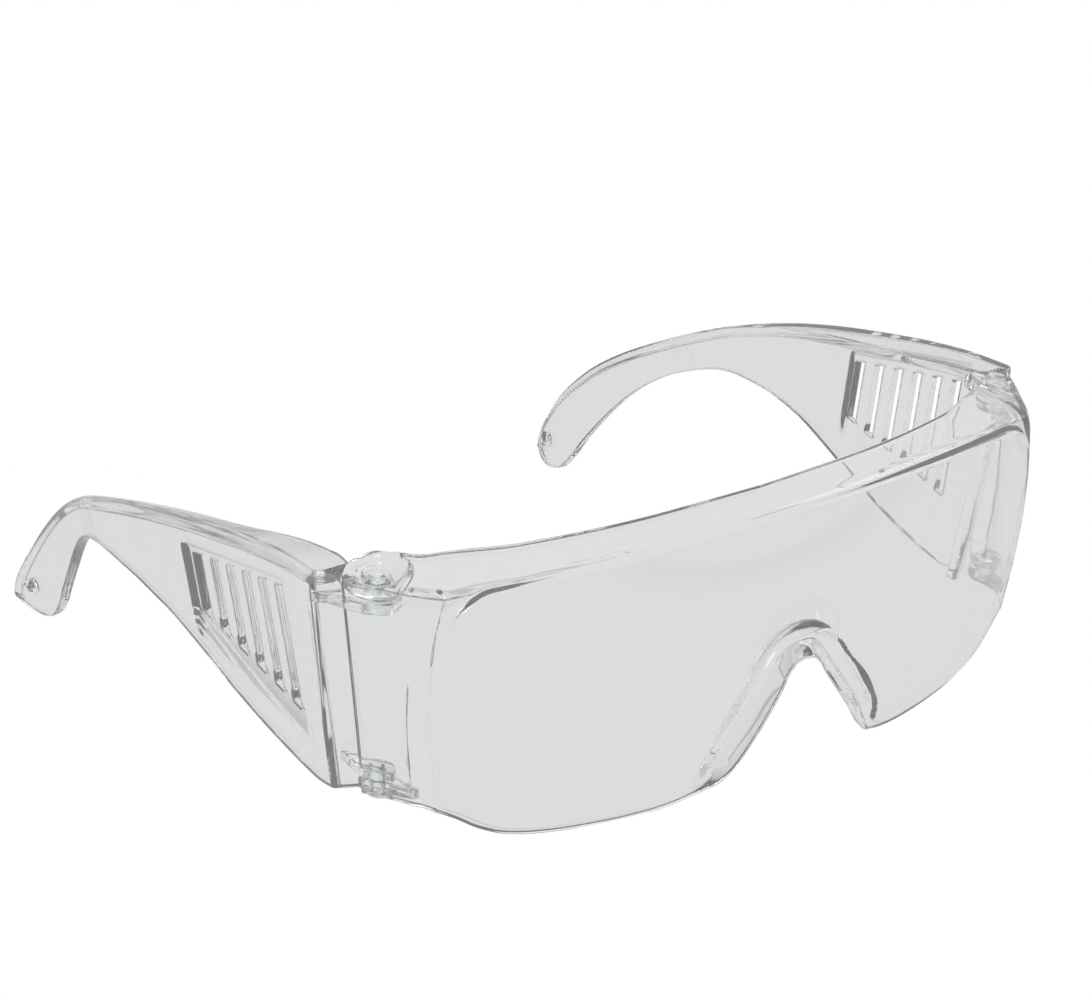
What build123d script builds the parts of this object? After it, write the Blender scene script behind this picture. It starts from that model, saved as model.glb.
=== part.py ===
"""Clear over-spectacle safety glasses: one-piece lens front, two folding temples, four hinge pins.

Everything is drawn in the hinge frame, whose Z runs up the two parallel hinge axes and whose Y runs
back along the temples.  That frame leans forward by rest_pitch, so that the finished glasses stand on
the lobes of the lens and on the tips of the temples.  The part's own origin is on that surface.
"""
from build123d import *
import math
import os

os.makedirs("parts", exist_ok=True)

# ---- driving dimensions, millimetres and degrees ----
wall = 2.2                # thickness of every moulded wall
gap = 0.3                 # space between pieces that move past each other
lean = 0.08               # inward lean of the side walls, per unit of depth below the brow

# hinge
hinge_x = 68.4            # half the spacing of the hinge axes
hinge_y = -0.4
boss_r = 5.2              # round boss of the front around each pin
boss_h = 2.2
boss_top = 0.4            # top face of the upper boss
boss_foot = -37.8         # bottom face of the lower boss
ear_r = 4.4               # round ear of the temple beside each boss
ear_h = 2.0
pin_r = 1.5
pin_fit = 0.05            # radial clearance of the pin in the temple's ear
head_r = 2.5
head_h = 0.8

# lens front: heights of three plan sections, and how far each lies ahead of the hinge frame
section_z = (0.8, -22.0, -48.0)
dome = (18.4, 24.1, 19.8)           # at the middle of the lens
edge = (13.4, 10.7, 7.2)            # at the side edge of the window
window_x = 64.0                     # half width of the lens window
bevel = 2.8                         # bevel from the window to the side panel
rim_x, rim_y = 74.2, 0.9            # rear end of the side panel at the brow
raise_h = 0.9                       # step of the window above the wall around it
raise_sink = 1.0                    # how far the window's step is sunk into the wall
bevel_inner = (1.1, 2.3)            # how far the bevel's inner corners are set in across the lens
window_border = 1.4                 # flat border between the window and the lens outline
window_corner = 6.5
brow_rise, brow_run = 3.0, 4.3      # rise and run of the brow shelf at the middle
brow_x = 60.5                       # half width of the brow shelf, up to the hinge bosses
brow_end = 3.0                      # how far ahead of the hinge frame the brow's rear edge ends
brow_foot = 1.4                     # how far the brow shelf's foot lies below the top of the wall
brow_wall = 1.8                     # depth of the brow shelf at its rear edge
lobe_z = -46.6                      # lowest line of the lens lobes
lobe_flat_x, lobe_turn_x = 42.0, 57.0   # ends of each lobe's straight bottom and of its turn
lobe_turn_rise = 2.0
panel_low = -38.0                   # bottom edge of the side panels
nose_top = -24.0                    # top of the nose opening
nose_foot_x = 14.2                  # half width of the nose opening at its foot
nose_foot_rise = 4.5                # height of the foot above the lobes
nose_foot_round = 5.0               # run of the round corner between foot and lobe
nose_waist = 0.72                   # half width of the opening at the waist, as a share of the foot's
nose_waist_drop = 9.0               # depth of the waist below the top of the opening
nose_border = 4.5                   # flat border around the nose opening
flange_depth = 5.0                  # depth of the nose flange behind the lens

# temples
temple_x = 78.0                     # outer face of the temple wall at the hinge
temple_y = 5.2                      # front edge of the temple wall
temple_lean = 0.13                  # inward lean of the temples, per unit of depth below the brow
toe_start, toe_end, flare_start = 76.0, 112.0, 124.0
toe_in = 8.0                        # how far the arm is set in between toe_end and flare_start
flare = 2.0                         # outward flare of the tip
tip_y, tip_z = 134.4, -57.5
slot_count = 6
slot_pitch = 5.2
slot_w = 2.9
slot_front = 15.2                   # front edge of the vent panel
lanyard_y, lanyard_z, lanyard_r = 129.4, -52.6, 1.4
arm_y = 96.0                        # plane where the side shield ends and the arm begins

# sketch planes outside the piece, and cuts that go right through it
ahead, below, through = -60.0, -60.0, 120.0

# attitude on the table, with the lens lobes and both temple tips touching it
rest_pitch = 4.58                   # forward lean of the hinge axes
hinge_height = 48.0                 # hinge frame's origin above the table
hinge_setback = -57.45              # hinge frame's origin from the middle of the glasses

pitch = math.radians(rest_pitch)
hinge_frame = Plane(
    origin=(0, hinge_setback, hinge_height),
    x_dir=(1, 0, 0),
    z_dir=(0, -math.sin(pitch), math.cos(pitch)),
)


def plan(z):
    """Sketch plane square to the hinge axes at height z."""
    return hinge_frame.offset(z)


def elevation(y):
    """Sketch plane facing forward at depth y; its local axes are X and height."""
    at = hinge_frame.from_local_coords(Vector(0, y, 0))
    return Plane(origin=at, x_dir=hinge_frame.x_dir, z_dir=-hinge_frame.y_dir)


def profile(x):
    """Sketch plane facing right at x; its local axes are depth and height."""
    at = hinge_frame.from_local_coords(Vector(x, 0, 0))
    return Plane(origin=at, x_dir=hinge_frame.y_dir, z_dir=hinge_frame.x_dir)


# ---- lens front ----
def wall_section(index):
    """Plan of the front's wall at one section: curved lens, bevels and side panels."""
    z, dome_y, edge_y = section_z[index], -dome[index], -edge[index]
    rear_x = rim_x + lean * (z - section_z[0])
    inner_x, inner_y = window_x - bevel_inner[0], edge_y + wall
    bend_x, bend_y = window_x + bevel, edge_y + bevel
    with BuildSketch(plan(z)) as section:
        with BuildLine():
            for side in (-1, 1):
                Polyline(
                    (side * window_x, edge_y),
                    (side * bend_x, bend_y),
                    (side * rear_x, rim_y),
                    (side * (rear_x - wall), rim_y),
                    (side * (bend_x - bevel_inner[1]), bend_y + wall / 2),
                    (side * inner_x, inner_y),
                )
            ThreePointArc((-window_x, edge_y), (0, dome_y), (window_x, edge_y))
            ThreePointArc((-inner_x, inner_y), (0, dome_y + wall), (inner_x, inner_y))
        make_face()
    return section.sketch


def window_section(index):
    """Plan of the raised window at one section, sunk halfway into the wall."""
    z, dome_y, edge_y = section_z[index], -dome[index], -edge[index]
    with BuildSketch(plan(z)) as section:
        with BuildLine():
            front = ThreePointArc(
                (-window_x, edge_y - raise_h), (0, dome_y - raise_h), (window_x, edge_y - raise_h)
            )
            rear = ThreePointArc(
                (-window_x, edge_y + raise_sink), (0, dome_y + raise_sink), (window_x, edge_y + raise_sink)
            )
            Line(front @ 0, rear @ 0)
            Line(front @ 1, rear @ 1)
        make_face()
    return section.sketch


def nose_curve(inset):
    """Arch of the nose opening in front view, set out into the lens, from foot to foot."""
    foot_x, foot_z = nose_foot_x + inset, lobe_z + nose_foot_rise
    waist_x, waist_z = foot_x * nose_waist, nose_top + inset - nose_waist_drop
    return Spline(
        (-foot_x, foot_z),
        (-waist_x, waist_z),
        (0, nose_top + inset * 0.7),
        (waist_x, waist_z),
        (foot_x, foot_z),
        tangents=((0.25, 1), (0.25, -1)),
    )


def lobe_outline(inset, top, side_x, nose_inset):
    """Front view of the lens, set in from the outer outline, with the nose opening cut out."""
    low = lobe_z + inset
    foot_x, foot_z = nose_foot_x + nose_inset, lobe_z + nose_foot_rise
    round_x = foot_x + nose_foot_round
    with BuildLine() as outline:
        nose_curve(nose_inset)
        for side in (-1, 1):
            Polyline((0, top), (side * side_x, top), (side * side_x, panel_low + inset))
            Spline(
                (side * side_x, panel_low + inset),
                (side * (lobe_turn_x - inset), low + lobe_turn_rise),
                (side * lobe_flat_x, low),
                tangents=((-side * 0.3, -1), (-side, 0)),
            )
            Line((side * lobe_flat_x, low), (side * round_x, low))
            Spline(
                (side * round_x, low),
                (side * foot_x, foot_z),
                tangents=((-side, 0), (-side * 0.25, 1)),
            )
    return outline.line


def space_behind(index):
    """Plan of the space behind the middle of the lens's wall at one section."""
    z, dome_y, edge_y = section_z[index], wall / 2 - dome[index], wall / 2 - edge[index]
    with BuildSketch(plan(z)) as section:
        with BuildLine():
            front = ThreePointArc((-window_x, edge_y), (0, dome_y), (window_x, edge_y))
            Polyline(front @ 1, (window_x, 0), (-window_x, 0), front @ 0)
        make_face()
    return section.sketch


with BuildPart() as window:
    for i in range(3):
        add(window_section(i))
    loft()
    with BuildSketch(elevation(ahead)):
        with BuildLine():
            add(lobe_outline(window_border, -0.5, window_x - 0.8, nose_border))
        make_face()
        top_corners = [v for v in vertices() if v.Y > -1 and abs(v.X) > 1]
        fillet(top_corners, window_corner)
    extrude(amount=-through, mode=Mode.INTERSECT)

with BuildPart() as nose_flange:
    for i in range(3):
        add(space_behind(i))
    loft()
    with BuildSketch(elevation(ahead)):
        with BuildLine():
            inner = nose_curve(0)
            outer = nose_curve(wall)
            Line(inner @ 0, outer @ 0)
            Line(inner @ 1, outer @ 1)
        make_face()
    extrude(amount=ahead + dome[1] - flange_depth, mode=Mode.INTERSECT)


with BuildPart() as lens_front:
    for i in range(3):
        add(wall_section(i))
    loft()
    with BuildSketch(elevation(ahead)):
        with BuildLine():
            add(lobe_outline(0, section_z[0], 66.0, 0))
        make_face()
        for side in (-1, 1):
            with BuildLine():
                Polyline(
                    (side * 60, section_z[0]),
                    (side * 67, boss_top),
                    (side * 80, boss_top - 2.4),
                    (side * 80, panel_low),
                    (side * 60, panel_low),
                    close=True,
                )
            make_face()
    extrude(amount=-through, mode=Mode.INTERSECT)

    # brow shelf, sloping up and back from the window to its rear edge
    front_y, rear_y = -dome[0], brow_run - dome[0]
    with BuildSketch(plan(section_z[0] - brow_foot)):
        with BuildLine():
            outer = ThreePointArc((-brow_x, -13.9), (0, front_y), (brow_x, -13.9))
            inner = ThreePointArc((-brow_x, -8.4), (0, front_y + 2.4), (brow_x, -8.4))
            Line(outer @ 0, inner @ 0)
            Line(outer @ 1, inner @ 1)
        make_face()
    with BuildSketch(plan(section_z[0] + brow_rise)):
        with BuildLine():
            outer = ThreePointArc((-brow_x, -brow_end), (0, rear_y), (brow_x, -brow_end))
            inner_y = brow_wall - brow_end
            inner = ThreePointArc((-brow_x, inner_y), (0, rear_y + brow_wall), (brow_x, inner_y))
            Line(outer @ 0, inner @ 0)
            Line(outer @ 1, inner @ 1)
        make_face()
    loft(ruled=True)

    # hinge bosses, upper and lower, bored for the pins
    for face_z in (boss_top - boss_h, boss_foot):
        with BuildSketch(plan(face_z)):
            for side in (-1, 1):
                with BuildLine():
                    Polyline(
                        (side * 59, -12.0),
                        (side * 64, -12.2),
                        (side * 66.2, -9.8),
                        (side * (72.9 + lean * face_z), 0.3),
                        (side * (71.4 + lean * face_z), 3.2),
                        (side * (hinge_x - boss_r), hinge_y),
                        (side * 59, -6.0),
                        close=True,
                    )
                make_face()
            with Locations((-hinge_x, hinge_y), (hinge_x, hinge_y)):
                Circle(boss_r)
        extrude(amount=boss_h)
    with BuildSketch(plan(below)):
        with Locations((-hinge_x, hinge_y), (hinge_x, hinge_y)):
            Circle(pin_r)
    extrude(amount=through, mode=Mode.SUBTRACT)
    add(window.part)
    add(nose_flange.part)

    # room in the side panels for the temples' ears to turn
    for face_z in (boss_top - boss_h - 2 * gap - ear_h, boss_foot + boss_h):
        with BuildSketch(plan(face_z)):
            with Locations((-hinge_x, hinge_y), (hinge_x, hinge_y)):
                Circle(ear_r + gap)
        extrude(amount=ear_h + 2 * gap, mode=Mode.SUBTRACT)
lens_front.part.label = "lens_front"
export_step(lens_front.part, "parts/lens_front.step")


# ---- temples ----
inward = {
    side: -side * temple_lean * hinge_frame.x_dir - hinge_frame.z_dir for side in (-1, 1)
}


def temple_path(side, inset):
    """Plan of the temple's outer face, moved inward by inset: straight, set in, then flared."""
    arm_x = temple_x - toe_in - inset
    return FilletPolyline(
        (side * (temple_x - inset), temple_y),
        (side * (temple_x - 0.8 - inset), toe_start),
        (side * arm_x, toe_end),
        (side * arm_x, flare_start),
        (side * (arm_x + flare), tip_y + 2),
        radius=14,
    )


def temple_top(drop):
    """Top line of the temple in side view, lowered by drop."""
    return Spline(
        (temple_y, 1.8 - drop),
        (24, 0.2 - drop),
        (52, -4.8 - drop),
        (76, -11.3 - drop),
        (101, -22.5 - drop),
        (122, -37.9 - drop),
        (tip_y - 1.4, -48.5 - drop),
    )


def slot_outline(k):
    """One vent slot in side view; the slots lengthen towards the front with the temple."""
    rear = slot_front + k * slot_pitch
    front = rear + slot_w
    return Polyline(
        (rear, -5.0 - 0.17 * (rear - slot_front)),
        (front, -5.0 - 0.17 * (front - slot_front)),
        (front, -29.0 + 0.25 * (front - slot_front)),
        (rear, -29.0 + 0.25 * (rear - slot_front)),
        close=True,
    )


def temple_flange(side):
    """Flange along the temple's top, turned inward and widest at the hinge."""
    with BuildPart() as flange:
        with BuildSketch(profile(0)):
            with BuildLine():
                upper = temple_top(0)
                lower = temple_top(wall)
                Line(upper @ 0, lower @ 0)
                Line(upper @ 1, lower @ 1)
            make_face()
        extrude(amount=through, both=True)
        with BuildSketch(plan(below)):
            with BuildLine():
                Polyline(
                    (side * (temple_x - 0.5), temple_y),
                    (side * 71.5, temple_y + 0.4),
                    (side * 69.2, temple_y + 1.2),
                    (side * 69.2, 18),
                    (side * 71.0, 32),
                    (side * 72.6, 47),
                    (side * 74.2, 62),
                    (side * 75.6, 80),
                    (side * (temple_x - 1.2), 80),
                    close=True,
                )
            make_face()
        extrude(amount=through, mode=Mode.INTERSECT)
    return flange.part


top_ear = boss_top - boss_h - gap - ear_h
foot_ear = boss_foot + boss_h + gap
for side, name in ((-1, "right"), (1, "left")):
    flange_part = temple_flange(side)
    with BuildPart() as temple:
        with BuildSketch(plan(2)):
            with BuildLine():
                outer = temple_path(side, 0)
                inner = temple_path(side, wall)
                Line(outer @ 0, inner @ 0)
                Line(outer @ 1, inner @ 1)
            make_face()
        extrude(amount=70, dir=inward[side])
        with BuildSketch(profile(0)):
            with BuildLine():
                top = temple_top(0)
                tip = Spline(
                    top @ 1,
                    (tip_y, -53),
                    (129.5, tip_z),
                    (121.3, -53.7),
                    tangents=(top % 1, (-0.7, 1)),
                )
                under = Spline(
                    tip @ 1,
                    (110, -40),
                    (96, -28),
                    (80, -23.2),
                    (60, -25.6),
                    (36.8, -34.8),
                    (15, -40.4),
                    (temple_y + 3, -40.6),
                    tangents=((-0.7, 1), (-1, 0)),
                )
                Line(under @ 1, top @ 0)
            make_face()
        extrude(amount=through, both=True, mode=Mode.INTERSECT)
        with BuildSketch(profile(side * 60)):
            for k in range(slot_count):
                with BuildLine():
                    slot_outline(k)
                make_face()
            with Locations((lanyard_y, lanyard_z)):
                Circle(lanyard_r)
        extrude(amount=side * 30, mode=Mode.SUBTRACT)
        add(flange_part)

        # front return, which closes the gap to the side panel of the lens
        with BuildSketch(plan(top_ear)):
            with BuildLine():
                Polyline(
                    (side * (temple_x - 0.3), temple_y),
                    (side * 74.2, 1.7),
                    (side * 73.0, 3.3),
                    (side * 75.8, temple_y + 2),
                    close=True,
                )
            make_face()
        extrude(amount=top_ear - foot_ear, dir=inward[side])

        # ears that turn on the pins
        for ear_z in (top_ear, foot_ear):
            wall_x = temple_x + temple_lean * ear_z
            with BuildSketch(plan(ear_z)):
                with BuildLine():
                    Polyline(
                        (side * hinge_x, hinge_y + ear_r - 0.4),
                        (side * (wall_x - 1.0), temple_y + 6),
                        (side * (wall_x - 1.0), temple_y + 1),
                        (side * (wall_x - 3.4), temple_y - 1.5),
                        (side * (hinge_x + 3.2), hinge_y + 1.6),
                        (side * hinge_x, hinge_y),
                        close=True,
                    )
                make_face()
                with Locations((side * hinge_x, hinge_y)):
                    Circle(ear_r)
                    Circle(pin_r + pin_fit, mode=Mode.SUBTRACT)
            extrude(amount=ear_h)
        split(bisect_by=elevation(arm_y), keep=Keep.BOTH)
    temple.part.label = f"temple_{name}"
    export_step(temple.part, f"parts/temple_{name}.step")

# ---- hinge pins: round head on the outside of the boss, shaft through boss and ear ----
shaft_l = boss_h + gap + ear_h + gap
for side, name in ((-1, "right"), (1, "left")):
    for level, face_z, turn in (("upper", boss_top, 1), ("lower", boss_foot, -1)):
        with BuildPart() as pin:
            with BuildSketch(plan(face_z)):
                with Locations((side * hinge_x, hinge_y)):
                    Circle(head_r)
            extrude(amount=turn * head_h)
            with BuildSketch(plan(face_z)):
                with Locations((side * hinge_x, hinge_y)):
                    Circle(pin_r)
            extrude(amount=-turn * shaft_l)
        pin.part.label = f"hinge_pin_{level}_{name}"
        export_step(pin.part, f"parts/hinge_pin_{level}_{name}.step")
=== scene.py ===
import bmesh
import bpy
import math
import numpy as np
from mathutils import Matrix, Vector


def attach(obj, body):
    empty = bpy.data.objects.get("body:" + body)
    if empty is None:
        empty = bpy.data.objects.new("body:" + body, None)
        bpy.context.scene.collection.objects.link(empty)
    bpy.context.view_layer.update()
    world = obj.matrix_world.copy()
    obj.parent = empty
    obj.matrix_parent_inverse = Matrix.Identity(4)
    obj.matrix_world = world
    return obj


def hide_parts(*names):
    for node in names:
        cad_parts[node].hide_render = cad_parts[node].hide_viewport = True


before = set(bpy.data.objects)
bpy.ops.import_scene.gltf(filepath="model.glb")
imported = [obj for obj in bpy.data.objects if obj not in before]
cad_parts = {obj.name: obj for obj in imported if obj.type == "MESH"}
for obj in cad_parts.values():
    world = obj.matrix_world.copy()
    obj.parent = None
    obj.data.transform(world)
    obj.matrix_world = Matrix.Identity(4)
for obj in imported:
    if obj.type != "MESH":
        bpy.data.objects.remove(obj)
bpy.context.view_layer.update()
scene = bpy.context.scene
scene.view_settings.view_transform = "Standard"
scene.view_settings.look = "None"


# ---- materials ----
CLEAR_TINT = (0.955, 0.965, 0.962, 1)
SHADOW_TINT = (0.9, 0.91, 0.91, 1)
POLYCARBONATE_IOR = 1.585
WHITE = (1, 1, 1, 1)


def tree_of(owner):
    """The emptied node tree of a material or a world."""
    owner.use_nodes = True
    owner.node_tree.nodes.clear()
    return owner.node_tree


def map_range(tree, from_min, from_max, to_min, to_max):
    node = tree.nodes.new("ShaderNodeMapRange")
    node.inputs["From Min"].default_value = from_min
    node.inputs["From Max"].default_value = from_max
    node.inputs["To Min"].default_value = to_min
    node.inputs["To Max"].default_value = to_max
    return node


def mix_by_ray(tree, ray, otherwise, when):
    """The shader `when` for rays of one kind, and the shader `otherwise` for all the rest."""
    path = tree.nodes.new("ShaderNodeLightPath")
    mix = tree.nodes.new("ShaderNodeMixShader")
    tree.links.new(path.outputs[ray], mix.inputs["Fac"])
    tree.links.new(otherwise, mix.inputs[1])
    tree.links.new(when, mix.inputs[2])
    return mix.outputs["Shader"]


def noise(tree, coord, scale, detail):
    node = tree.nodes.new("ShaderNodeTexNoise")
    node.inputs["Scale"].default_value = scale
    node.inputs["Detail"].default_value = detail
    tree.links.new(coord.outputs["Object"], node.inputs["Vector"])
    return node.outputs["Fac"]


def clear_plastic(name):
    mat = bpy.data.materials.new(name)
    tree = tree_of(mat)
    new, link = tree.nodes.new, tree.links.new
    out = new("ShaderNodeOutputMaterial")
    plastic = new("ShaderNodeBsdfPrincipled")
    plastic.inputs["Base Color"].default_value = CLEAR_TINT
    plastic.inputs["IOR"].default_value = POLYCARBONATE_IOR
    plastic.inputs["Transmission Weight"].default_value = 0.95
    coord = new("ShaderNodeTexCoord")
    # Moulding haze: a faint, slow change of polish over the surface.
    polish = map_range(tree, 0.35, 0.75, 0.0, 0.06)
    link(noise(tree, coord, 60.0, 3.0), polish.inputs["Value"])
    link(polish.outputs["Result"], plastic.inputs["Roughness"])
    # Flow ripple: the slight waviness of an injection moulding.
    ripple = new("ShaderNodeBump")
    ripple.inputs["Strength"].default_value = 0.12
    ripple.inputs["Distance"].default_value = 0.0002
    link(noise(tree, coord, 120.0, 1.0), ripple.inputs["Height"])
    link(ripple.outputs["Normal"], plastic.inputs["Normal"])
    # Light for the shadows goes straight through.
    clear = new("ShaderNodeBsdfTransparent")
    clear.inputs["Color"].default_value = SHADOW_TINT
    seen = mix_by_ray(tree, "Is Shadow Ray", plastic.outputs["BSDF"], clear.outputs["BSDF"])
    link(seen, out.inputs["Surface"])
    return mat


LENS = clear_plastic("clear_polycarbonate_lens")
TEMPLE = clear_plastic("clear_polycarbonate_temple")
PINS = clear_plastic("clear_polycarbonate_pin")


# ---- geometry: millimetres in the hinge frame, Z up the hinge axes, Y back along the temples ----
PITCH = math.radians(4.58)
SETBACK, HEIGHT = -57.45, 48.0
AXIS_X, AXIS_Y = 68.4, -0.4
WALL = 2.2
EDGE_BULGE, EDGE_POWER = 0.35, 0.7  # how far a rounded free edge stands out, and how square it is
TINY = 1e-9


def to_row(p):
    """Points in the hinge frame, in millimetres, as points in the row frame, in metres."""
    x, y, z = np.asarray(p, float).T
    c, s = math.cos(PITCH), math.sin(PITCH)
    return np.stack([x, SETBACK + y * c - z * s, HEIGHT + y * s + z * c], -1) * 0.001


def curve(knots):
    """Smooth function through (position, value) knots that doesn't overshoot them."""
    k = np.array(knots, float)
    x, y = k[:, 0], k[:, 1]
    h = np.diff(x)
    d = np.diff(y) / h
    m = np.zeros_like(y)
    same = d[:-1] * d[1:] > 0
    m[1:-1][same] = 2 * d[:-1][same] * d[1:][same] / (d[:-1] + d[1:])[same]
    m[0], m[-1] = d[0], d[-1]

    def f(t):
        t = np.clip(t, x[0], x[-1])
        i = np.clip(np.searchsorted(x, t, side="right") - 1, 0, len(h) - 1)
        s = (t - x[i]) / h[i]
        a, b = (1 - s) ** 2, s * s
        return ((1 + 2 * s) * a * y[i] + s * a * h[i] * m[i]
                + b * (3 - 2 * s) * y[i + 1] + b * (s - 1) * h[i] * m[i + 1])

    return f


def poly(knots, degree):
    """Least-squares polynomial through (position, value) knots."""
    k = np.array(knots, float)
    c = np.polyfit(k[:, 0], k[:, 1], degree)
    return lambda t: np.polyval(c, t)


def step(t):
    """Smooth rise from 0 at t = 0 to 1 at t = 1."""
    t = np.clip(t, 0, 1)
    return t * t * (3 - 2 * t)


def blurred(f, u, v, du, dv, taps=9):
    """f averaged over u +- du and v +- dv, which rounds its folds."""
    k = np.linspace(-1, 1, taps)
    w = 1 - 0.5 * np.abs(k)
    w = w / w.sum()
    total = 0
    for a, wa in zip(k, w):
        for b, wb in zip(k, w):
            total = total + wa * wb * f(u + a * du, v + b * dv)
    return total


def grid_normals(p):
    """Unit normals of a grid of points (rows, columns, 3)."""
    a = np.gradient(p, axis=0)
    b = np.gradient(p, axis=1)
    n = np.cross(b, a)
    return n / np.maximum(np.linalg.norm(n, axis=-1, keepdims=True), TINY)


def mesh_object(name, verts, faces, mat):
    me = bpy.data.meshes.new(name)
    me.from_pydata([tuple(v) for v in to_row(verts)], [], faces)
    me.validate()
    me.update()
    o = bpy.data.objects.new(name, me)
    scene.collection.objects.link(o)
    me.materials.append(mat)
    me.polygons.foreach_set("use_smooth", [True] * len(me.polygons))
    return o


def shell(name, outer, inner, keep, mat, flip=False, steps=6):
    """Closed wall between two grids of points.

    keep says which cells are there, every free edge is rounded, and flip turns a mirrored wall
    the right way out.
    """
    rows, cols = outer.shape[:2]
    n = rows * cols
    idx = np.arange(n).reshape(rows, cols)
    quads = []
    for r in range(rows - 1):
        for c in range(cols - 1):
            if keep[r, c]:
                quads.append((idx[r, c], idx[r, c + 1], idx[r + 1, c + 1], idx[r + 1, c]))
    o, i = outer.reshape(-1, 3), inner.reshape(-1, 3)
    # A dict keeps the edges in the order in which they come.
    directed = {}
    for q in quads:
        for a, b in zip(q, q[1:] + q[:1]):
            directed[(a, b)] = True
    free = [(a, b) for a, b in directed if (b, a) not in directed]
    thick = o - i
    unit = thick / np.maximum(np.linalg.norm(thick, axis=1, keepdims=True), TINY)
    # Away from the wall at each point of a free edge
    out = {}
    for a, b in free:
        t = np.cross(o[b] - o[a], unit[a] + unit[b])
        t = t / max(np.linalg.norm(t), TINY)
        out[a] = out.get(a, 0) + t
        out[b] = out.get(b, 0) + t
    verts = [o, i]
    ring = {}
    count = 2 * n
    for a, t in out.items():
        t = t / max(np.linalg.norm(t), TINY)
        if flip:
            t = -t
        mid = (o[a] + i[a]) / 2
        ids = [int(a)]
        pts = []
        for k in range(1, steps):
            phi = math.pi / 2 - math.pi * k / steps
            s, c = math.sin(phi), math.cos(phi)
            pts.append(mid + thick[a] / 2 * math.copysign(abs(s) ** EDGE_POWER, s)
                       + t * EDGE_BULGE * abs(c) ** EDGE_POWER)
            ids.append(count)
            count += 1
        ids.append(int(a) + n)
        verts.append(np.array(pts))
        ring[a] = ids
    faces = [tuple(int(x) for x in q) for q in quads]
    faces += [tuple(int(x) + n for x in reversed(q)) for q in quads]
    for a, b in free:
        ra, rb = ring[a], ring[b]
        for k in range(steps):
            faces.append((rb[k], ra[k], ra[k + 1], rb[k + 1]))
    verts = np.concatenate(verts)
    used = np.unique(np.array([x for f in faces for x in f]))
    remap = -np.ones(len(verts), int)
    remap[used] = np.arange(len(used))
    faces = [tuple(int(remap[x]) for x in (reversed(f) if flip else f)) for f in faces]
    return mesh_object(name, verts[used], faces, mat)


# ---- lens front ----
# u runs from the middle (0) across the window (to WINDOW_U), round its corner (to CREASE_U) and
# along the side panel (to RIM_U). v runs up the wall (below 0) and back along the brow (above 0).
WINDOW_U, CREASE_U, RIM_U = 64.0, 68.0, 80.0
TOP_Z = 0.6

# Plan of the wall at each height z: how far forward the window is at its middle and at its side,
# its half width, the crease, and the side panel's rear rim
dome = poly([(0.8, 18.4), (-22, 24.3), (-48, 22.8)], 2)
edge = poly([(0.8, 13.4), (-9, 12.2), (-22, 10.6), (-33.5, 9.6), (-48, 8.6)], 2)
side_x = poly([
    (0.8, 63.4), (-5, 64.8), (-14, 66.0), (-20, 66.1), (-25, 65.9), (-33.5, 64.7), (-44, 62.4)], 3)
crease_x = poly([
    (0.8, 66.4), (-3, 67.4), (-9, 68.6), (-16, 69.0), (-22, 68.9), (-30, 68.0), (-40, 66.2)], 2)
crease_y = poly([(0.8, 9.8), (-9, 9.3), (-16, 8.5), (-22, 8.0), (-30, 7.3), (-40, 6.4)], 1)
RIM_X, RIM_Y, RIM_Z, RIM_LEAN = 74.2, 0.9, 0.8, 0.08

# Height of the lower outline, and the brow's rear edge, along u
lens_foot = curve([
    (0, -24.0), (1.6, -24.3), (3.4, -25.8), (5.0, -28.5), (8.0, -32.8), (11.2, -37.2),
    (13.4, -40.0), (15.0, -41.8), (16.9, -43.5), (20, -45.2), (24, -46.3), (30, -46.9),
    (36.7, -47.1), (43, -47.1), (49, -46.8), (54, -46.0), (58, -44.2), (61.5, -41.5),
    (64, -40.0), (67, -39.0), (72, -38.5), (80, -38.3)])
brow_x = curve([
    (0, 0), (23, 23), (46, 46), (57, 56.6), (62, 61.4), (66, 64.0), (70, 66.4), (74, 69.8),
    (78, 72.7), (80, 73.7)])
brow_y = curve([
    (0, -14.1), (23, -12.9), (46, -9.0), (57, -4.4), (62, -2.2), (66, 1.4), (70, 4.2), (74, 4.4),
    (78, 2.6), (80, 1.6)])
brow_z = curve([
    (0, 3.4), (46, 3.3), (57, 3.1), (62, 2.9), (66, 2.7), (70, 2.3), (74, 1.7), (78, 1.0),
    (80, 0.7)])

# The raised window: its top and side, the radius of their corner, its height over the border,
# the width of its bevel, and the width of the border below it along u
WINDOW_TOP, WINDOW_SIDE, WINDOW_CORNER = -0.3, 62.9, 6.5
WINDOW_LIFT, WINDOW_BEVEL = 0.9, 1.1
border = curve([(0, 4.2), (9, 5.2), (13, 5.0), (17, 2.4), (22, 1.4), (80, 1.4)])

# How far the folds are rounded along u, along v, and more along v beside the window
LENS_BLUR_U, LENS_BLUR_V, CORNER_BLUR_V = 0.45, 1.5, 1.5

# The hinge corner: slope of its top round the pin, how far from the pin that reaches and fades,
# and the height and the inner and outer radius of the collar
BOSS_SLOPE, DISH_R, DISH_FADE = 0.26, 2.4, 2.8
COLLAR, COLLAR_R0, COLLAR_R1 = 0.3, 2.9, 5.4

# The nose: the end of the arch along u, the half width of the region round it and how it fades,
# the lip's reach forward, the flange's reach back and away from the opening, and how far from the
# outline of the arch the lip and the flange reach
ARCH_U, NOSE_X, NOSE_FADE = 16, 23, 9
NOSE_LIP, FLANGE_DEPTH, FLANGE_FLARE = 2.0, 2.6, 3.1
LIP_R, LIP_FADE, FLANGE_R = 3.0, 7.0, 9.0


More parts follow.
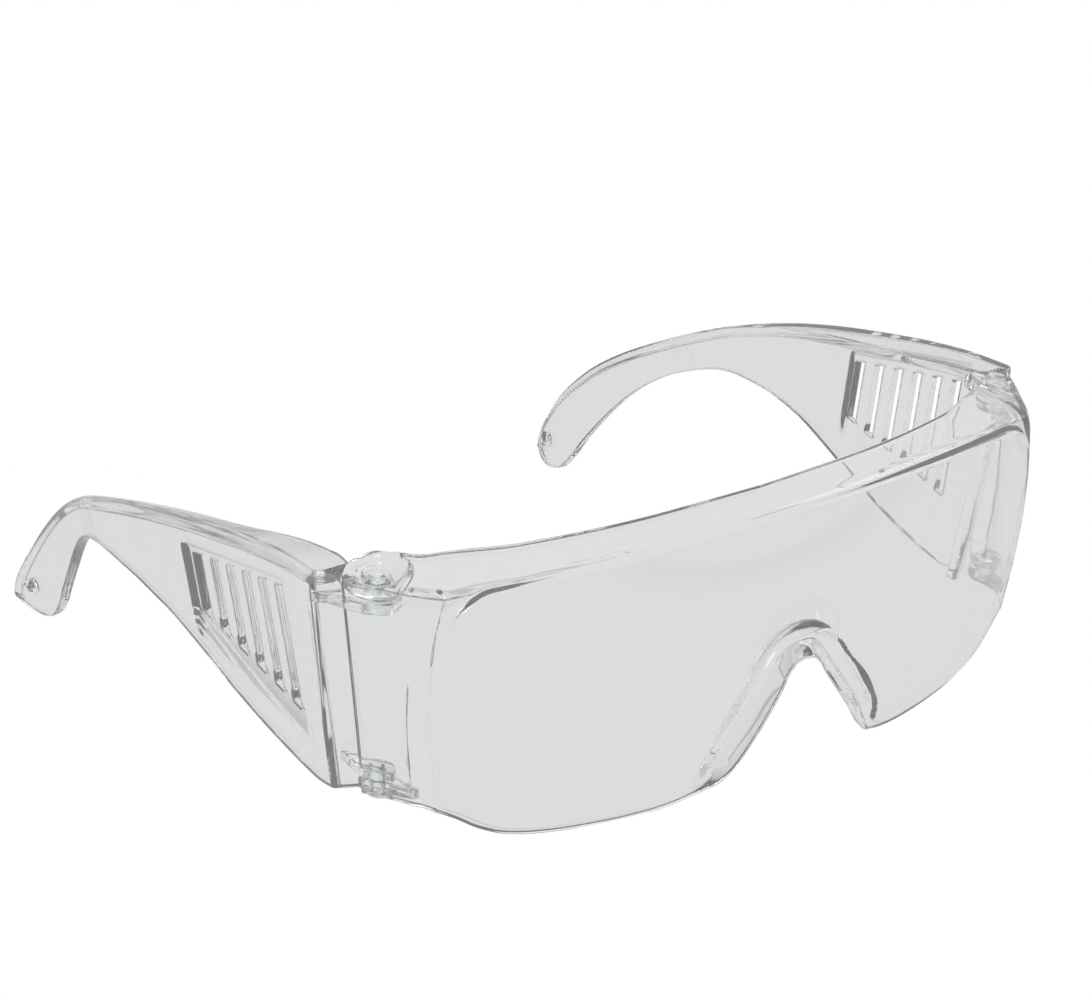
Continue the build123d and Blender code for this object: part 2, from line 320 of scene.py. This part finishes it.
def plan_point(u, z):
    """The point of the wall at u and height z, before the brow and the window."""
    side, u = np.sign(u) + (u == 0), np.abs(u)
    d, e, w, cx, cy = dome(z), edge(z), side_x(z), crease_x(z), crease_y(z)
    a = np.minimum(u, WINDOW_U) / WINDOW_U
    b = np.clip((u - WINDOW_U) / (CREASE_U - WINDOW_U), 0, 1)
    c = np.maximum((u - CREASE_U) / (RIM_U - CREASE_U), 0)
    x = a * w + b * (cx - w) + c * (RIM_X + RIM_LEAN * (z - RIM_Z) - cx)
    y = -d + (d - e) * a * a + b * (e - cy) + c * (RIM_Y + cy)
    return np.stack([side * x, y, z + 0 * u], -1)


def brow_run(u):
    """From the top of the wall to the brow's rear edge, at each u."""
    side, s = np.sign(u) + (u == 0), np.abs(u)
    rear = np.stack([side * brow_x(s), brow_y(s), brow_z(s)], -1)
    return rear - plan_point(u, TOP_Z + 0 * u)


def lens_surface(u, v):
    wall = plan_point(u, TOP_Z + np.minimum(v, 0))
    run = brow_run(u)
    along = run / np.linalg.norm(run, axis=-1, keepdims=True)
    return wall + along * np.maximum(v, 0)[..., None]


def make_lens():
    """Outer and inner grids of the lens front, with rows along v and columns along u."""
    half = np.concatenate([
        np.linspace(0, 16, 57)[:-1], np.linspace(16, 54, 66)[:-1], np.linspace(54, RIM_U, 71)])
    us = np.concatenate([-half[:0:-1], half])
    tau = np.linspace(0, 1, 100)
    up = 0.45 * tau + 0.55 * (0.5 - 0.5 * np.cos(np.pi * tau))
    back = np.linspace(0, 1, 26)[1:]
    foot = lens_foot(np.abs(us)) - TOP_Z
    reach = np.linalg.norm(brow_run(us), axis=1)
    v = np.concatenate([foot * (1 - up[:, None]), reach * back[:, None]])
    u = np.broadcast_to(us, v.shape)
    x = np.abs(u)
    p = blurred(lens_surface, u, v, LENS_BLUR_U, LENS_BLUR_V + CORNER_BLUR_V * step((x - 50) / 12))
    z = p[..., 2]

    # For each point: how far it is inside the border of the lower outline, and how far it is
    # from the nose arch and in which direction
    low = np.full(x.shape, 99.0)
    arch = np.full(x.shape, 99.0)
    away_x, away_z = np.zeros(x.shape), np.zeros(x.shape)
    for a in np.linspace(0, RIM_U, 641):
        dist = np.hypot(x - a, z - lens_foot(a))
        low = np.minimum(low, dist - border(a))
        if a < ARCH_U:
            near = dist < arch
            arch = np.where(near, dist, arch)
            rise = lens_foot(a + 0.05) - lens_foot(max(a - 0.05, 0))
            slope = rise / (0.1 if a > 0.05 else 1e9)
            away_x = np.where(near, -slope / math.hypot(slope, 1), away_x)
            away_z = np.where(near, 1 / math.hypot(slope, 1), away_z)
    near_nose = step((NOSE_X - x) / NOSE_FADE)

    # Height over the border of the window
    top, side, r = WINDOW_TOP - z, WINDOW_SIDE - x, WINDOW_CORNER
    corner = r - np.hypot(np.maximum(r - top, 0), np.maximum(r - side, 0))
    within = np.where((top < r) & (side < r), corner, np.minimum(top, side))
    within = np.where(v > 0, -1.0, np.minimum(within, low))
    lift = WINDOW_LIFT * step((within + WINDOW_BEVEL / 2) / WINDOW_BEVEL)

    # The top of the hinge corner is dished to a slope round the pin, with a collar on it.
    pin = np.hypot(np.abs(p[..., 0]) - AXIS_X, p[..., 1] - AXIS_Y)
    on_top = (v > 0) & (x > 60)
    dish = np.where(on_top, (1 - step((pin - DISH_R) / DISH_FADE)) * step(v / 3), 0)
    p[..., 2] += dish * (BOSS_SLOPE * (p[..., 1] - AXIS_Y) - p[..., 2])
    ring = step((pin - COLLAR_R0) / 0.7) * step((COLLAR_R1 - pin) / 1.2) * step((v - 0.5) / 2)
    lift = lift + np.where(on_top, COLLAR * ring, 0)

    # The lip of the nose arch stands forward.
    p[..., 1] -= NOSE_LIP * (1 - step((arch - LIP_R) / LIP_FADE)) * near_nose
    n = grid_normals(p)
    if n[60, len(us) // 2, 1] > 0:  # out of the lens is forward
        n = -n

    # The wall deepens round the arch, and flares away from the opening behind it.
    flange = (1 - step(arch / FLANGE_R)) * near_nose
    outer = p + n * lift[..., None]
    inner = p - n * (WALL + FLANGE_DEPTH * flange)[..., None]
    inner[..., 0] += np.sign(u) * away_x * FLANGE_FLARE * flange
    inner[..., 2] += away_z * FLANGE_FLARE * flange
    keep = np.ones((len(p) - 1, len(us) - 1), bool)
    return outer, inner, keep


# ---- temples ----
# s runs back along the temple, from its front return (before FRONT_S) to its tip (TIP_S). v runs
# up its wall (below 0) and in along its top flange (above 0). The return runs in and forward.
FRONT_S, TIP_S = 5.2, 141
RETURN, RETURN_X, RETURN_Y = 5.4, 0.864, 0.504  # length, and share of it inward and forward
TEMPLE_KNOTS = [  # s, top y and z, bottom y and z
    (5.2, 5.2, 1.2, 8.6, -40.7), (12, 12, 1.1, 13.0, -41.1), (15, 15, 1.0, 15.4, -40.8),
    (26, 26, -0.1, 26, -38.2), (36.8, 36.8, -1.8, 36.8, -34.4), (47.6, 47.6, -3.8, 47.6, -29.6),
    (60, 60, -6.6, 59, -25.4), (74, 74, -10.6, 70, -23.4), (87, 87, -15.3, 80, -22.9),
    (101, 101, -22.0, 91, -25.4), (112, 112.6, -28.6, 101, -30.8),
    (122, 122.8, -37.0, 110.6, -41.0), (128, 128.2, -43.2, 116.0, -48.1),
    (133, 131.9, -48.2, 119.8, -53.2), (136, 133.4, -51.0, 123.6, -57.0),
    (139, 134.2, -53.4, 129.4, -58.0), (141, 134.3, -54.9, 133.2, -56.6)]
top_y, top_z, low_y, low_z = (curve([(k[0], k[i]) for k in TEMPLE_KNOTS]) for i in (1, 2, 3, 4))
# Along y: the outer face at the top edge, how it leans, the top edge's height, and how steeply the
# flange falls inward
FACE_X, FACE_LEAN = 78.0, 0.145
face_x = curve([
    (0, FACE_X), (40, 77.6), (60, 77.1), (74, 76.1), (82, 75.0), (90, 72.7), (97, 70.2),
    (104, 67.9), (112, 66.2), (122, 65.0), (128, 65.0), (132, 65.9), (136, 67.2)])
face_lean = curve([
    (0, FACE_LEAN), (50, FACE_LEAN), (70, 0.13), (90, 0.1), (110, 0.08), (140, 0.08)])
crest_z = curve([(k[1], k[2]) for k in TEMPLE_KNOTS[:-1]])
flange_fall = curve([(0, 0.0), (8, 0.02), (20, 0.12), (40, 0.26), (80, 0.3), (141, 0.3)])
# Along s: the flange's width
flange_w = curve([
    (0, 7.4), (5.2, 7.9), (10, 8.7), (20, 8.6), (32, 7.0), (47, 5.5), (62, 4.0), (80, 2.6),
    (92, 1.4), (104, 0.7), (141, 0.4)])

# How far the folds are rounded along s, more along s on the arm, and along v
TEMPLE_BLUR_S, ARM_BLUR_S, TEMPLE_BLUR_V = 1.1, 7.0, 2.4

# Vent slots: their first edge, pitch, width and number, and their upper and lower ends, each a
# depth under the hinge frame's origin at VENT_Y and its slope along y
SLOT_Y0, SLOT_PITCH, SLOT_W, SLOTS = 15.3, 5.2, 2.7, 6
VENT_Y = 15
VENT_TOP, VENT_TOP_SLOPE = 5.0, 0.17
VENT_LOW, VENT_LOW_SLOPE = 29.0, 0.25
# The sunk panel round them: its depth, its margin, its top, and where and how far it fades out
RECESS, RECESS_EDGE, RECESS_TOP, RECESS_LOW, RECESS_FADE = 0.6, 1.9, 3.6, 37, 9

# The lanyard hole's middle and radius
LANYARD_Y, LANYARD_Z, LANYARD_R = 128.6, -52.4, 1.4


def temple_surface(s, v):
    t = np.maximum(s, FRONT_S)
    ty, tz, ly, lz = top_y(t), top_z(t), low_y(t), low_z(t)
    h = np.hypot(ty - ly, tz - lz)
    k = np.minimum(v, 0) / h
    y = ty + (ty - ly) * k
    z = tz + (tz - lz) * k
    x = face_x(y) + face_lean(y) * (z - crest_z(y))
    inward = np.maximum(v, 0)
    x = x - inward
    z = z - flange_fall(y) * inward
    # The front return fades out under the flange.
    ahead = np.maximum(FRONT_S - s, 0) * step((2.0 - v) / 3.5)
    return np.stack([x - RETURN_X * ahead, y - RETURN_Y * ahead, z], -1)


def make_temple():
    """Outer and inner grids of the left temple, with rows along v and columns along s."""
    edges = [SLOT_Y0 + k * SLOT_PITCH + e for k in range(SLOTS) for e in (0, SLOT_W)]
    s = [np.linspace(FRONT_S - RETURN, FRONT_S, 12)[:-1], np.linspace(FRONT_S, VENT_Y, 15)[:-1]]
    for a, b in zip(edges, edges[1:]):
        s.append(np.linspace(a, b, 7 if b - a > 2.5 else 5)[:-1])
    s += [np.linspace(edges[-1], 60, 20)[:-1], np.linspace(60, 128, 76)[:-1],
          np.linspace(128, TIP_S, 34)]
    s = np.concatenate(s)
    t = np.maximum(s, FRONT_S)
    h = np.hypot(top_y(t) - low_y(t), top_z(t) - low_z(t))
    at = np.clip(t, 12, 47.6)
    tall = top_z(at) - low_z(at)
    slot_top = (top_z(at) + VENT_TOP + VENT_TOP_SLOPE * (at - VENT_Y)) / tall
    slot_low = (top_z(at) + VENT_LOW - VENT_LOW_SLOPE * (at - VENT_Y)) / tall
    below, slotted, above = 21, 24, 11
    v = np.concatenate([
        -h + (h - slot_low * h) * np.linspace(0, 1, below + 1)[:-1, None],
        -slot_low * h + (slot_low - slot_top) * h * np.linspace(0, 1, slotted + 1)[:-1, None],
        -slot_top * h + slot_top * h * np.linspace(0, 1, above + 1)[:-1, None],
        flange_w(t) * np.linspace(0, 1, 18)[:, None]])
    u = np.broadcast_to(s, v.shape)
    reach = TEMPLE_BLUR_S + ARM_BLUR_S * step((u - 56) / 20) * (1 - 0.6 * step((u - 118) / 12))
    p = blurred(temple_surface, u, v, reach, TEMPLE_BLUR_V)
    n = grid_normals(p)
    if n[30, 60, 0] < 0:  # out of the left temple is to the left, along +X
        n = -n

    # The vent panel is sunk a little, which fades out downwards.
    y, z = p[..., 1], p[..., 2]
    side = np.minimum(y - (SLOT_Y0 - RECESS_EDGE), edges[-1] + RECESS_EDGE - y)
    top = (-RECESS_TOP - VENT_TOP_SLOPE * (y - VENT_Y)) - z
    sunk = np.where(v < 0, np.minimum(side, top), -1)
    fade = step((z + RECESS_LOW - VENT_LOW_SLOPE * (y - VENT_Y)) / RECESS_FADE)
    depth = RECESS * step((sunk + 0.4) / 0.8) * fade
    outer = p - n * depth[..., None]
    inner = p - n * WALL
    keep = np.ones((v.shape[0] - 1, v.shape[1] - 1), bool)

    # The cells at the lanyard hole are left out, and the ones beside it end on a circle that is
    # wider than the hole by its rounded edge.
    from_y, from_z = p[..., 1] - LANYARD_Y, p[..., 2] - LANYARD_Z
    middle_y = (from_y[:-1, :-1] + from_y[1:, 1:]) / 2
    middle_z = (from_z[:-1, :-1] + from_z[1:, 1:]) / 2
    cut_r = LANYARD_R + EDGE_BULGE
    hole = np.hypot(middle_y, middle_z) < cut_r
    gone, left = np.zeros(u.shape, bool), np.zeros(u.shape, bool)
    for a in (slice(None, -1), slice(1, None)):
        for b in (slice(None, -1), slice(1, None)):
            gone[a, b] |= hole
            left[a, b] |= ~hole
    onto = np.where(gone & left, cut_r / np.hypot(from_y, from_z) - 1, 0)
    for q in (outer, inner):
        q[..., 1] += onto * from_y
        q[..., 2] += onto * from_z
    keep[hole] = False

    for a, b in zip(edges[::2], edges[1::2]):
        keep[below:below + slotted, (s[:-1] > a - 0.01) & (s[1:] < b + 0.01)] = False
    return outer, inner, keep


# ---- plates and pins of the hinges ----
BORE_R = 1.55
EARS = (("upper", -4.5, -2.6, 4.4), ("lower", -35.2, -33.3, 3.2))  # level, from z, to z, radius
BOSS_Z0, BOSS_Z1, BOSS_R = -37.8, -35.6, 3.6
PIN_FACES = (("upper", 0.1, 1, BOSS_SLOPE), ("lower", -37.8, -1, 0))  # level, z, way up, slope
PIN_PROFILE = [  # radius, and height over the face that the head rests on
    (0, 0.35), (0.9, 0.38), (1.5, 0.62), (1.9, 0.8), (2.2, 0.74), (2.42, 0.5), (2.5, 0.2),
    (2.5, 0.0), (2.3, -0.1), (1.5, -0.1), (1.5, -4.3), (1.2, -4.8), (0, -4.8)]


def disc(x, y, r, count):
    """Points of a circle, counter-clockwise."""
    a = np.linspace(0, 2 * np.pi, count + 1)[:-1]
    return np.stack([x + r * np.cos(a), y + r * np.sin(a)], -1)


def plate(name, outline, z0, z1, mat, bore_x, soft=0.35):
    """Flat moulded plate with rounded edges between two heights, with the pin's bore in it."""
    data = bpy.data.curves.new(name, "CURVE")
    data.dimensions = "2D"
    data.fill_mode = "BOTH"
    data.extrude = (z1 - z0) / 2 - soft
    data.bevel_depth = soft
    data.bevel_resolution = 2
    data.offset = -soft
    for loop in (outline, disc(bore_x, AXIS_Y, BORE_R, 40)):
        sp = data.splines.new("POLY")
        sp.points.add(len(loop) - 1)
        for q, pt in zip(sp.points, loop):
            q.co = (pt[0], pt[1], 0, 1)
        sp.use_cyclic_u = True
    tmp = bpy.data.objects.new(name + "_curve", data)
    scene.collection.objects.link(tmp)
    bpy.context.view_layer.update()
    solid = tmp.evaluated_get(bpy.context.evaluated_depsgraph_get())
    me = bpy.data.meshes.new_from_object(solid)
    bpy.data.objects.remove(tmp)
    bm = bmesh.new()
    bm.from_mesh(me)
    bmesh.ops.remove_doubles(bm, verts=bm.verts, dist=0.001)
    bmesh.ops.recalc_face_normals(bm, faces=bm.faces)
    for f in bm.faces:
        f.smooth = False
    bm.to_mesh(me)
    bm.free()
    co = np.array([q.co for q in me.vertices])
    co[:, 2] += (z0 + z1) / 2
    for q, c in zip(me.vertices, to_row(co)):
        q.co = c
    me.name = name
    o = bpy.data.objects.new(name, me)
    scene.collection.objects.link(o)
    me.materials.clear()
    me.materials.append(mat)
    return o


def lathe(name, profile, x, y, mat, slope, steps=40):
    """Solid of revolution about the upright line at (x, y), sheared up along y by the slope.

    profile is (radius, z) from axis to axis.
    """
    rings = [np.insert(disc(x, y, r, steps), 2, z, axis=1) for r, z in profile[1:-1]]
    verts = np.concatenate([[(x, y, profile[0][1])], *rings, [(x, y, profile[-1][1])]])
    last = len(verts) - 1
    turn = [(k, (k + 1) % steps) for k in range(steps)]
    faces = [(0, 1 + b, 1 + a) for a, b in turn]
    for j in range(len(rings) - 1):
        at = 1 + j * steps
        up = at + steps
        faces += [(at + a, at + b, up + b, up + a) for a, b in turn]
    at = 1 + (len(rings) - 1) * steps
    faces += [(at + a, at + b, last) for a, b in turn]
    verts[:, 2] += slope * (verts[:, 1] - y)
    o = mesh_object(name, verts, faces, mat)
    bm = bmesh.new()
    bm.from_mesh(o.data)
    bmesh.ops.recalc_face_normals(bm, faces=bm.faces)
    bm.to_mesh(o.data)
    bm.free()
    return o


def half_hull(points):
    """One side of the convex hull of sorted 2-D points, without its last point."""
    out = []
    for p in points:
        while len(out) > 1:
            a, b = out[-2:]
            if (b[0] - a[0]) * (p[1] - a[1]) - (b[1] - a[1]) * (p[0] - a[0]) > 0:
                break
            out.pop()
        out.append(p)
    return out[:-1]


def hull(points):
    """Convex hull of 2-D points, counter-clockwise."""
    pts = sorted(set(map(tuple, np.round(points, 4))))
    return np.array(half_hull(pts) + half_hull(pts[::-1]))


def ear_outline(z0, radius):
    """The plate from a left temple's wall to round its pin, with its underside at z0."""
    wall_x = FACE_X + FACE_LEAN * z0
    foot = [(wall_x - 2.0, 7.4), (wall_x - 2.0, 5.6), (wall_x - 3.4, 3.8)]
    return hull(np.concatenate([disc(AXIS_X, AXIS_Y, radius, 48), foot]))


def boss_outline():
    """The left lower boss, which keeps inside the side panel's face."""
    pts = np.concatenate([disc(AXIS_X, AXIS_Y, BOSS_R, 48), [(65.0, -6.6), (66.2, -6.0)]])
    a, b = np.array([66.3, -6.5]), np.array([71.1, 0.9])
    out = np.array([b[1] - a[1], a[0] - b[0]]) / np.linalg.norm(b - a)
    over = np.maximum((pts - a) @ out + 0.25, 0)
    return hull(pts - over[:, None] * out)


def place(o, body, slot_name, *nodes):
    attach(o, body)
    if nodes:
        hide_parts(*nodes)


outer, inner, keep = make_lens()
lens = shell("lens_moulding", outer, inner, keep, LENS)
place(lens, "front", "lens", "lens_front")

outer, inner, keep = make_temple()
for sign, side in ((-1, "right"), (1, "left")):
    across = np.array([sign, 1, 1])
    temple = shell(
        f"temple_moulding_{side}", outer * across, inner * across, keep, TEMPLE, flip=sign < 0)
    place(temple, f"temple_{side}", "temples", f"temple_{side}")
    pin_x = sign * AXIS_X
    for level, z0, z1, radius in EARS:
        outline = ear_outline(z0, radius) * [sign, 1]
        ear = plate(f"temple_ear_{level}_{side}", outline, z0, z1, TEMPLE, pin_x)
        place(ear, f"temple_{side}", "temples")
    outline = boss_outline() * [sign, 1]
    boss = plate(f"hinge_boss_lower_{side}", outline, BOSS_Z0, BOSS_Z1, LENS, pin_x)
    place(boss, "front", "lens")
    for level, face, turn, slope in PIN_FACES:
        profile = [(r, face + turn * z) for r, z in PIN_PROFILE]
        pin = lathe(f"pin_{level}_{side}", profile, pin_x, AXIS_Y, PINS, slope)
        place(pin, "front", "pins", f"hinge_pin_{level}_{side}")


# ---- floor ----
# White for the camera, and grey through the plastic. The light that comes up through it falls off
# away from the glasses.
GREY_NEAR, GREY_FAR = 0.715, 0.42
NEAR_M, FAR_M = 0.22, 0.75

bpy.ops.mesh.primitive_plane_add(size=12, location=(0, 0, -0.0004))
floor = bpy.context.object
floor.name = "studio_floor"
mat = bpy.data.materials.new("studio_floor")
tree = tree_of(mat)
out = tree.nodes.new("ShaderNodeOutputMaterial")
seen = tree.nodes.new("ShaderNodeEmission")
through = tree.nodes.new("ShaderNodeEmission")
for node in (seen, through):
    node.inputs["Color"].default_value = WHITE
seen.inputs["Strength"].default_value = 1.0
coord = tree.nodes.new("ShaderNodeTexCoord")
distance = tree.nodes.new("ShaderNodeVectorMath")
distance.operation = "LENGTH"
falloff = map_range(tree, NEAR_M, FAR_M, GREY_NEAR, GREY_FAR)
falloff.interpolation_type = "SMOOTHSTEP"
tree.links.new(coord.outputs["Object"], distance.inputs[0])
tree.links.new(distance.outputs["Value"], falloff.inputs["Value"])
tree.links.new(falloff.outputs["Result"], through.inputs["Strength"])
shade = mix_by_ray(tree, "Is Camera Ray", through.outputs["Emission"], seen.outputs["Emission"])
tree.links.new(shade, out.inputs["Surface"])
floor.data.materials.append(mat)

# ---- world: white for the camera, and a room of greys for every other ray ----
# Height, from the horizon and all below it (0) to straight up (1), and the grey there
ROOM_GREYS = ((0.25, 0.5), (0.5, 0.75))
HORIZON_GREY, ZENITH_GREY = 0.66, 0.9

world = bpy.data.worlds.new("studio")
scene.world = world
tree = tree_of(world)
out = tree.nodes.new("ShaderNodeOutputWorld")
seen = tree.nodes.new("ShaderNodeBackground")
seen.inputs["Color"].default_value = WHITE
room = tree.nodes.new("ShaderNodeBackground")
coord = tree.nodes.new("ShaderNodeTexCoord")
split = tree.nodes.new("ShaderNodeSeparateXYZ")
greys = tree.nodes.new("ShaderNodeValToRGB")
ramp = greys.color_ramp
ramp.elements[0].position = 0.0
ramp.elements[0].color = (HORIZON_GREY, HORIZON_GREY, HORIZON_GREY, 1)
ramp.elements[1].position = 1.0
ramp.elements[1].color = (ZENITH_GREY, ZENITH_GREY, ZENITH_GREY, 1)
for at, grey in ROOM_GREYS:
    ramp.elements.new(at).color = (grey, grey, grey, 1)
tree.links.new(coord.outputs["Generated"], split.inputs["Vector"])
tree.links.new(split.outputs["Z"], greys.inputs["Fac"])
tree.links.new(greys.outputs["Color"], room.inputs["Color"])
shade = mix_by_ray(tree, "Is Camera Ray", room.outputs["Background"], seen.outputs["Background"])
tree.links.new(shade, out.inputs["Surface"])


# ---- lights and camera ----
def softbox(name, location, watts, aim=(0, 0, 0.03), size=1.2):
    data = bpy.data.lights.new(name, "AREA")
    data.shape = "RECTANGLE"
    data.size = data.size_y = size
    data.energy = watts
    o = bpy.data.objects.new(name, data)
    scene.collection.objects.link(o)
    o.location = location
    toward = Vector(aim) - Vector(location)
    o.rotation_euler = toward.to_track_quat("-Z", "Y").to_euler()


softbox("key_left", (-1.6, -1.9, 1.5), 18)
softbox("fill_right", (2.2, -1.2, 1.2), 8)

cam_data = bpy.data.cameras.new("camera")
cam_data.lens = 99.08
cam_data.sensor_width = 36.0
cam_data.sensor_fit = "HORIZONTAL"
cam_data.clip_start = 0.01
cam = bpy.data.objects.new("camera", cam_data)
scene.collection.objects.link(cam)
# Columns: the camera's right, up and back in the row frame, and where it stands
cam.matrix_world = Matrix((
    (0.80024, 0.23861, -0.55017, -0.30464),
    (-0.59822, 0.25363, -0.76013, -0.43048),
    (-0.04184, 0.93741, 0.34571, 0.22214),
    (0, 0, 0, 1)))
scene.camera = cam
